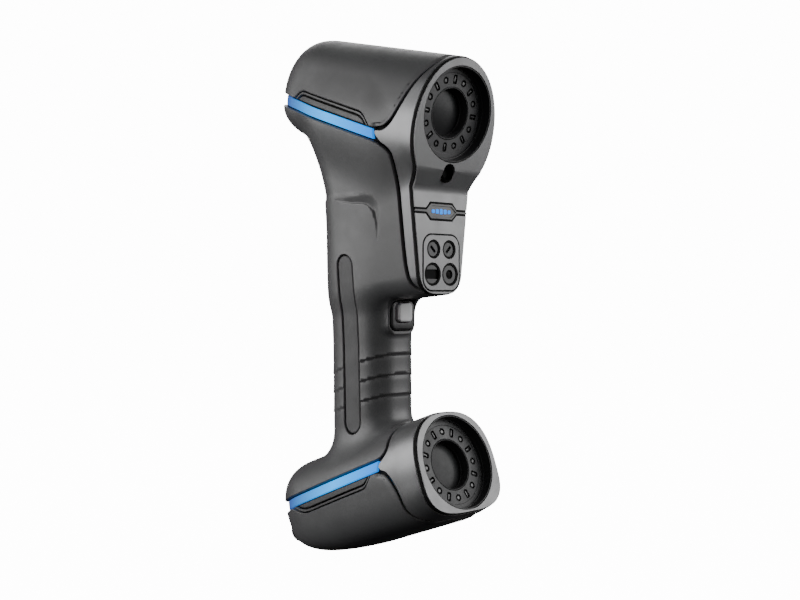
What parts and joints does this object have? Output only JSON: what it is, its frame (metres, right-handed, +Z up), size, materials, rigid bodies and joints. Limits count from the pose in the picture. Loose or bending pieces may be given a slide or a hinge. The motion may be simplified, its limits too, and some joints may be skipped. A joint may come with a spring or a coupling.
{
  "type": "handheld 3d scanner",
  "caption": "Handheld 3D scanner: two tilted camera units on a C-shaped body, laser chin and trigger grip.",
  "frame": {"origin": "middle of the grip, where the hand holds it", "axes": "+Z up along the grip, the cameras look along -Y, +X to the scanner's left seen from behind it"},
  "size_m": [0.0722, 0.1486, 0.3134],
  "materials": {
    "shell": "satin moulded",
    "frame": "metallic satin",
    "plate": "metallic matte",
    "grip": "soft touch",
    "light": "lit diffuser",
    "dark": "black matte",
    "trigger": "light grey",
    "glass": "coated dark",
    "board": "circuit board",
    "alloy": "machined",
    "steel": "plain"
  },
  "bodies": {
    "scanner": {"base_bottom_cover": "shell", "base_camera_board": "board", "base_face_plate": "plate", "base_front_frame": "frame", "base_led_board": "board", "base_led_plate": "dark", "base_lens_barrel": "dark", "base_lens_cone": "dark", "base_lens_glass": "glass", "base_light_strip": "light", "base_vent_left": "dark", "base_vent_right": "dark", "board_screw_1": "steel", "board_screw_2": "steel", "board_screw_3": "steel", "board_screw_4": "steel", "cable_socket": "dark", "chin_plate": "plate", "colour_camera_module": "alloy", "colour_camera_window": "glass", "grip_pad_left": "grip", "grip_pad_right": "grip", "head_camera_board": "board", "head_face_plate": "plate", "head_front_frame": "frame", "head_led_board": "board", "head_led_plate": "dark", "head_lens_barrel": "dark", "head_lens_cone": "dark", "head_lens_glass": "glass", "head_light_strip": "light", "head_top_cover": "shell", "head_vent_left": "dark", "head_vent_right": "dark", "key_board": "board", "laser_module_left": "alloy", "laser_module_right": "alloy", "laser_plate": "frame", "laser_window_left": "glass", "laser_window_right": "glass", "main_board": "board", "main_shell": "shell", "projector_module": "alloy", "projector_window": "glass", "rear_keypad": "grip", "sensor_window": "glass", "socket_pins": "alloy", "spine_frame": "alloy", "status_badge": "plate", "trigger_bezel": "dark", "trigger_spring": "steel", "trigger_switch": "dark"},
    "trigger": {"trigger_button": "trigger"},
    "key_up": {"rear_key_up": "trigger"},
    "key_main": {"rear_key_main": "trigger"},
    "key_down": {"rear_key_down": "trigger"}
  },
  "joints": [
    {"name": "trigger_press", "type": "slide", "parent": "scanner", "child": "trigger", "axis": [0, 1, 0], "range_m": [0, 0.0022], "stiffness_N_per_m": 900, "springref_m": -0.0008, "deforming": ["trigger_spring"]},
    {"name": "key_up_press", "type": "slide", "parent": "scanner", "child": "key_up", "axis": [0, -1, 0], "range_m": [0, 0.001], "stiffness_N_per_m": 1200, "springref_m": -0.0005},
    {"name": "key_main_press", "type": "slide", "parent": "scanner", "child": "key_main", "axis": [0, -1, 0], "range_m": [0, 0.001], "stiffness_N_per_m": 1200, "springref_m": -0.0005},
    {"name": "key_down_press", "type": "slide", "parent": "scanner", "child": "key_down", "axis": [0, -1, 0], "range_m": [0, 0.001], "stiffness_N_per_m": 1200, "springref_m": -0.0005}
  ]
}
